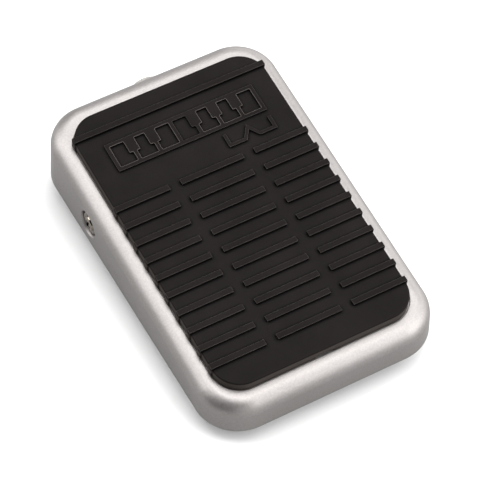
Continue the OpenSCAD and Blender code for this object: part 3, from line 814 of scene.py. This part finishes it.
low, high = WASHER_SLIP, WASHER_T - WASHER_SLIP
washer_profile = [(low, RING_HOLE_R), (low, WASHER_R - 0.06), (low + 0.06, WASHER_R)]
washer_profile += [(high - 0.08, WASHER_R), (high, WASHER_R - 0.1), (high, RING_HOLE_R)]
washer = turned("washer", washer_profile, SEAT, REARWARD, hollow=True)
shown("jack_flat_washer", washer, plate, "treadle", "jack_outer_washer")

low, high = WASHER_T, WASHER_T + NUT_T
# Round the nut's section: its hole, the face on the washer, the rim and the outer face.
nut_profile = [(low, RING_HOLE_R), (low, NUT_R - 0.45), (low + 0.22, NUT_CORE_R), (high - 0.3, NUT_CORE_R)]
nut_profile += [(high - 0.08, NUT_R - 0.38), (high, NUT_R - 0.5), (high, RING_HOLE_R + 0.15)]
nut_profile.append((high - 0.15, RING_HOLE_R))
slots = []
for x_low, x_high in ((-SLOT_OUT, -SLOT_IN), (SLOT_IN, SLOT_OUT)):
    slot_profile = rectangle(x_low, x_high, -SLOT_HALF_W, SLOT_HALF_W)
    slot = slab("slot", slot_profile, 2, high - SLOT_DEPTH, 0)
    slot.transform(Matrix.Translation(Vector(SEAT) * MM) @ Matrix.Diagonal((MM, MM, MM, 1)))
    slots.append(slot)
nut = carved(turned("nut", nut_profile, SEAT, REARWARD, 120, hollow=True), slots)

knurl_tree, given, result = tree_in("knurls round a rim", Count="Int", Radius="Float", Place="Vector")
rim = knurl_tree.nodes.new("GeometryNodeMeshCircle")
turned_rim = knurl_tree.nodes.new("GeometryNodeTransform")
turned_rim.inputs["Rotation"].default_value = (math.pi / 2, 0, 0)
placed = knurl_tree.nodes.new("GeometryNodeInstanceOnPoints")
wired(knurl_tree, given, "Count", rim, "Vertices")
wired(knurl_tree, given, "Radius", rim, "Radius")
wired(knurl_tree, rim, 0, turned_rim, "Geometry")
wired(knurl_tree, given, "Place", turned_rim, "Translation")
wired(knurl_tree, turned_rim, 0, placed, "Points")
wired(knurl_tree, given, "Geometry", placed, "Instance")
finish_tree(knurl_tree, given, placed, result)
knurl_profile = [(low + 0.2, 0), (low + 0.26, KNURL_R), (high - 0.34, KNURL_R), (high - 0.28, 0)]
knurl = turned("knurl", knurl_profile, (0, 0, 0), REARWARD, 8)
rim_given = {"Count": KNURLS, "Radius": (NUT_R - KNURL_R) * MM, "Place": tuple(Vector(SEAT) * MM)}
knurls = grown(knurl, knurl_tree, {**rim_given, "Coat": plate.material})
nut_mesh = joined("round nut", [nut, knurls])
shown("jack_round_nut", nut_mesh, plate, "treadle", "jack_nut", smooth=40)


# ---------------------------------------------------------------------------
# The base: one tray pressed from steel sheet, with an ear at each side for the
# hinge screws, black powder-coated. It shows in the gap below the cover.
# ---------------------------------------------------------------------------
powder = Coat("black powder coat", roughness=0.5)
orange_peel = powder.noise(0.7 * MM, 3, 0.55)
scuffs = powder.between(0.62, 0.8, powder.noise(6 * MM, 5, 0.7))
powder.finish("Base Color", powder.tint(scuffs, (0.018, 0.018, 0.019), (0.045, 0.044, 0.043)))
powder.finish("Roughness", 0.42 + 0.2 * orange_peel)
powder.bump(orange_peel, 0.03 * MM, 0.6)

SHEET, SOLE_T, RIM_TOP, RIM_EASE, BEND_R, TRAY_R = 1.5, 2, 7, 0.2, 1.9, 8.4
EAR_R, EAR_HALF, EAR_SHOULDER, EAR_EASE, EAR_SLIP, EAR_HOLE_R = 4.5, 9, 8.6, 0.15, 0.01, 1.5
tray_low, tray_high = (Vector(corner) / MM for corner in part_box("base_plate"))
tray_mid, tray_half = (tray_low.y + tray_high.y) / 2, (tray_high.y - tray_low.y) / 2


def tray_ring(inset, z):
    """A ring of the tray, inset from its outer wall."""
    return level_ring(EAR_OUT - inset, tray_half - inset, TRAY_R - inset, z, 12, tray_mid)


def bend(inset, z, r):
    """Rings round a bend of radius r, from the floor at height z up to the wall."""
    return [tray_ring(inset + r * (1 - math.sin(t)), z + r * (1 - math.cos(t))) for t in quarter(6)]


tray_rings = bend(0, SOLE_T, BEND_R)
tray_rings += [tray_ring(0, RIM_TOP - RIM_EASE), tray_ring(RIM_EASE, RIM_TOP)]
tray_rings += [tray_ring(SHEET - RIM_EASE, RIM_TOP), tray_ring(SHEET, RIM_TOP - RIM_EASE)]
tray_rings += bend(SHEET, SOLE_T + SHEET, BEND_R - SHEET)[::-1]
tray = new_mesh("tray", *skin(tray_rings))
ear_profile = [(-EAR_HALF, RIM_TOP - 1), (EAR_HALF, RIM_TOP - 1), (EAR_SHOULDER, RIM_TOP)]
for degrees in range(8, 173, 11):
    angle = math.radians(degrees)
    ear_profile.append((EAR_R * math.cos(angle), HINGE.z + EAR_R * math.sin(angle)))
ear_profile.append((-EAR_SHOULDER, RIM_TOP))
ears = []
for side in (-1, 1):
    ear = slab("ear", ear_profile, SHEET - 2 * EAR_SLIP, EAR_SLIP, EAR_EASE)
    for vert in ear.vertices:
        y, depth, z = vert.co
        vert.co = Vector((side * (EAR_OUT - depth), HINGE.y + y, z)) * MM
    ear_faces = [tuple(face.vertices) for face in ear.polygons]
    ears.append(new_mesh("ear", [tuple(vert.co) for vert in ear.vertices], ear_faces))
hole = turned("hole", rod(-EAR_OUT - 2, EAR_OUT + 2, EAR_HOLE_R), HINGE, (1, 0, 0), 48)
tray = carved(carved(tray, ears, "UNION"), [hole])
shown("base_tray", tray, powder, "base", "base_plate", smooth=35)


# ---------------------------------------------------------------------------
# The sole: a sheet of moulded black rubber glued under the tray. A border and a
# row of cross bars grip the floor.
# ---------------------------------------------------------------------------
sole_rubber = Coat("sole rubber", roughness=0.78, specular_ior_level=0.3)
pores = sole_rubber.noise(0.5 * MM, 4, 0.65)
grime = sole_rubber.between(0.5, 0.8, sole_rubber.noise(5 * MM, 5, 0.7))
sole_rubber.finish("Base Color", sole_rubber.tint(grime, (0.014, 0.0135, 0.013), (0.035, 0.033, 0.031)))
sole_rubber.finish("Roughness", 0.68 + 0.2 * pores)
sole_rubber.bump(pores, 0.05 * MM, 0.8)

SOLE_INSET, TREAD_H, TREAD_ROOT, SOLE_SLIP = 1, 0.7, 0.2, 0.02
BORDER_W, BORDER_EASE, BAR_PITCH, BAR_DEPTH, BAR_EASE, BAR_CLEAR = 3.5, 0.25, 6, 4.2, 0.2, 2


def sole_ring(inset, z):
    """A ring of the sole, inset from its edge."""
    whole = SOLE_INSET + inset
    return level_ring(EAR_OUT - whole, tray_half - whole, TRAY_R - whole, z, 10, tray_mid)


sheet_rings = [sole_ring(0.1, TREAD_H), sole_ring(0, TREAD_H + 0.1), sole_ring(0, SOLE_T - SOLE_SLIP)]
sheet = new_mesh("sheet", *skin(sheet_rings))
tread_top = TREAD_H + TREAD_ROOT
border_rings = [sole_ring(0, tread_top), sole_ring(0, BORDER_EASE), sole_ring(BORDER_EASE, 0)]
border_rings += [sole_ring(BORDER_W - BORDER_EASE, 0), sole_ring(BORDER_W, BORDER_EASE)]
border_rings += [sole_ring(BORDER_W, tread_top), sole_ring(0, tread_top)]
border = new_mesh("border", *skin(border_rings, False))
bar_count = int(2 * (tray_half - SOLE_INSET - BORDER_W) // BAR_PITCH)
half_bar = EAR_OUT - SOLE_INSET - BORDER_W - BAR_CLEAR
bar_start = tray_mid - (bar_count - 1) / 2 * BAR_PITCH - BAR_DEPTH / 2
bar = slab("bar", rectangle(-half_bar, half_bar, 0, tread_top), BAR_DEPTH, bar_start, BAR_EASE)
bar.transform(Matrix.Diagonal((MM, MM, MM, 1)))
bars_given = {"Rows": bar_count, "Step": (0, BAR_PITCH * MM, 0), "Coat": sole_rubber.material}
sole_mesh = joined("sole", [sheet, border, grown(bar, rows_tree, bars_given)])
shown("grip_sole", sole_mesh, sole_rubber, "base", "rubber_sole", smooth=35)


# ---------------------------------------------------------------------------
# The return springs: two coils of drawn steel wire with flat ends. They stand in
# cups on the tray and push the cover up ahead of the hinge.
# ---------------------------------------------------------------------------
wire = Coat("spring steel", metallic=1.0, roughness=0.35)
drawn = wire.noise(0.4 * MM, 2, 0.5)
wire.finish("Base Color", wire.tint(drawn, (0.30, 0.30, 0.31), (0.42, 0.42, 0.43)))
wire.finish("Roughness", 0.28 + 0.2 * drawn)

COIL_R, WIRE_R, TURNS, DEAD_TURNS, DEAD_RISE = 4, 0.5, 5.5, 0.85, 0.65
PER_TURN, AROUND = 36, 10
live_turns = TURNS - 2 * DEAD_TURNS
for side in ("left", "right"):
    low, high = (Vector(corner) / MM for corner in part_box("return_spring_" + side))
    centre = (low + high) / 2
    first_z = low.z + WIRE_R
    live_rise = (high.z - WIRE_R - first_z - 2 * DEAD_RISE) / live_turns
    rings = []
    for step in range(int(TURNS * PER_TURN) + 1):
        turn = step / PER_TURN
        live = min(max(turn - DEAD_TURNS, 0), live_turns)
        dead = min(turn, DEAD_TURNS) + max(turn - TURNS + DEAD_TURNS, 0)
        z = first_z + live * live_rise + dead * DEAD_RISE / DEAD_TURNS
        out = Vector((math.cos(2 * math.pi * turn), math.sin(2 * math.pi * turn), 0))
        heart = Vector((centre.x, centre.y, z)) + out * COIL_R
        angles = [2 * math.pi * k / AROUND for k in range(AROUND)]
        rings.append([heart + (out * math.cos(t) + UP * math.sin(t)) * WIRE_R for t in angles])
    coil = new_mesh("coil", *skin(rings))
    spring = "return_spring_" + side
    piece = shown("coil_spring_" + side, coil, wire, "base", spring, smooth=60)
    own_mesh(piece)


# ---------------------------------------------------------------------------
# The pieces inside: bushes, bumpers, spring cups, board, switch, contacts and
# leads. They keep the shapes they were designed with and take their own finishes.
# ---------------------------------------------------------------------------
def plain_coat(name, dark, light, rough, grain_size, depth, metallic=0.0):
    """A coat of one colour that varies a little between dark and light."""
    coat = Coat(name, metallic=metallic, roughness=rough)
    texture = coat.noise(grain_size, 3, 0.6)
    coat.finish("Base Color", coat.tint(coat.between(0.3, 0.7, texture), dark, light))
    coat.finish("Roughness", (rough - 0.06) + 0.14 * texture)
    coat.bump(texture, depth, 0.5)
    return coat


nylon = plain_coat("natural nylon", (0.60, 0.58, 0.50), (0.70, 0.68, 0.61), 0.45, 0.8 * MM, 0.01 * MM)
black_plastic = plain_coat("black plastic", (0.018, 0.018, 0.019), (0.028, 0.028, 0.030),
                           0.42, 0.5 * MM, 0.012 * MM)
red_plastic = plain_coat("red plastic", (0.42, 0.02, 0.015), (0.52, 0.03, 0.02), 0.3, 0.6 * MM, 0.006 * MM)
white_sleeve = plain_coat("white wire sleeve", (0.68, 0.68, 0.66), (0.78, 0.78, 0.76),
                          0.35, 1.5 * MM, 0.008 * MM)
fibre = plain_coat("fibre sheet", (0.38, 0.29, 0.17), (0.55, 0.44, 0.28), 0.8, 0.4 * MM, 0.03 * MM)
brass = plain_coat("spring brass", (0.55, 0.38, 0.13), (0.66, 0.48, 0.20), 0.3, 0.4 * MM, 0.006 * MM, 1.0)
resist = plain_coat("green solder resist", (0.006, 0.055, 0.02), (0.01, 0.085, 0.03),
                    0.32, 1.2 * MM, 0.01 * MM)
FINISHES = {
    nylon: ["pivot_bushes", "switch_pusher", "spring_seats", "wire_clip"],
    black_plastic: ["jack_housing", "switch_case", "sleeve_wire"],
    red_plastic: ["switch_plunger"],
    white_sleeve: ["tip_wire"],
    fibre: ["pad_adhesive", "jack_inner_washer", "board_spacers"],
    brass: ["jack_tip_contact", "jack_sleeve_contact"],
    resist: ["circuit_board"],
    plate: ["clinch_nuts", "board_screws", "switch_terminals"],
    wire: ["switch_lever"],
    sole_rubber: ["rest_bumpers", "travel_bumpers"],
}
for coat, names in FINISHES.items():
    for name in names:
        node = frame["nodes"][name]
        node.data.materials.clear()
        node.data.materials.append(coat.material)
